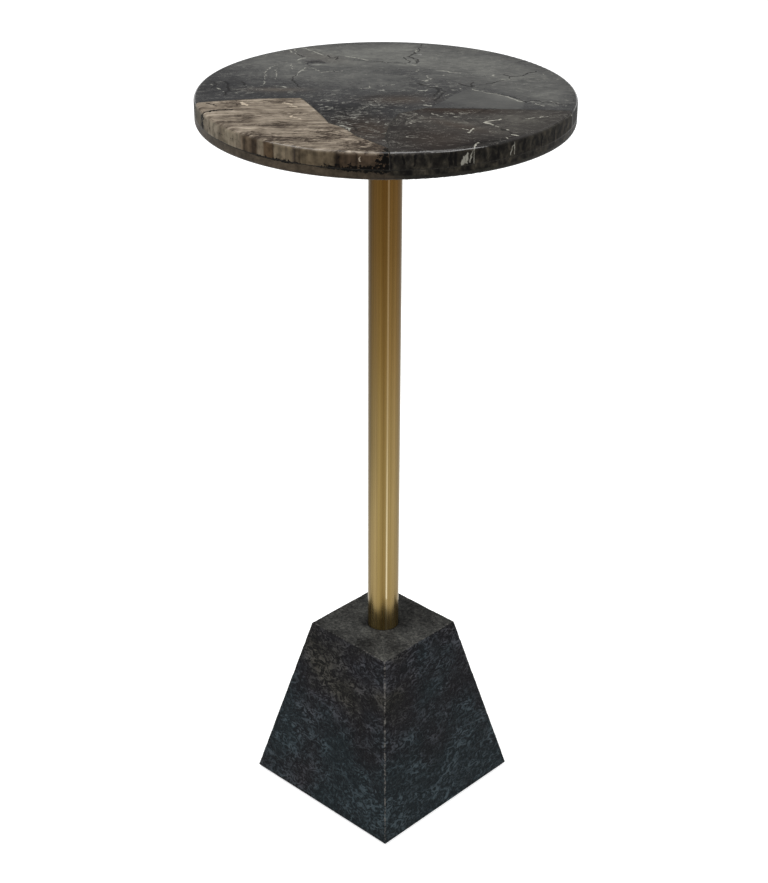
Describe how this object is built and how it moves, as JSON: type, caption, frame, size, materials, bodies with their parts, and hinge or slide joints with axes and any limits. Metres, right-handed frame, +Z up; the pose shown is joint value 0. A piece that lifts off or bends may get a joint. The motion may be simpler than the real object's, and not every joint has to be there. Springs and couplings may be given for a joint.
{
  "type": "drinks table",
  "caption": "Small round pedestal drinks table: pieced stone top on a satin brass pole, clamped to a tapered square block of black stone.",
  "frame": {"origin": "on the floor under the axis of the pole", "axes": "+Z up along the pole; X and Y along the sides of the square base block"},
  "size_m": [0.275, 0.275, 0.601],
  "materials": {
    "buff_stone": "polished petrified wood, buff with brown and black streaks",
    "grey_stone": "polished petrified wood, dark grey with pale flecks and veins",
    "brown_stone": "polished petrified wood, brown-black with white crystals",
    "black_resin": "black casting resin, polished flush",
    "backing_stone": "honed dark grey-brown reconstituted stone",
    "turned_brass": "turned",
    "black_coated_steel": "black powder coat",
    "plated_steel": "zinc plated",
    "turned_steel": "turned, bare",
    "satin_brass": "antique brass, brushed lengthwise and lacquered",
    "base_stone": "leathered black marble with pale worn arrises",
    "black_rubber": "moulded, matt"
  },
  "bodies": {
    "root": {"facing_buff": "buff_stone", "facing_rear": "grey_stone", "facing_front": "brown_stone", "bedding_resin": "black_resin", "backing_disc": "backing_stone", "threaded_inserts": "turned_brass", "mounting_plate": "black_coated_steel", "plate_screws": "plated_steel", "pole_spigot": "turned_steel", "pole": "satin_brass", "pole_plug": "turned_steel", "base_block": "base_stone", "clamp_stud": "plated_steel", "clamp_washer": "plated_steel", "spring_washer": "plated_steel", "clamp_nut": "plated_steel", "rubber_feet": "black_rubber"}
  },
  "joints": []
}
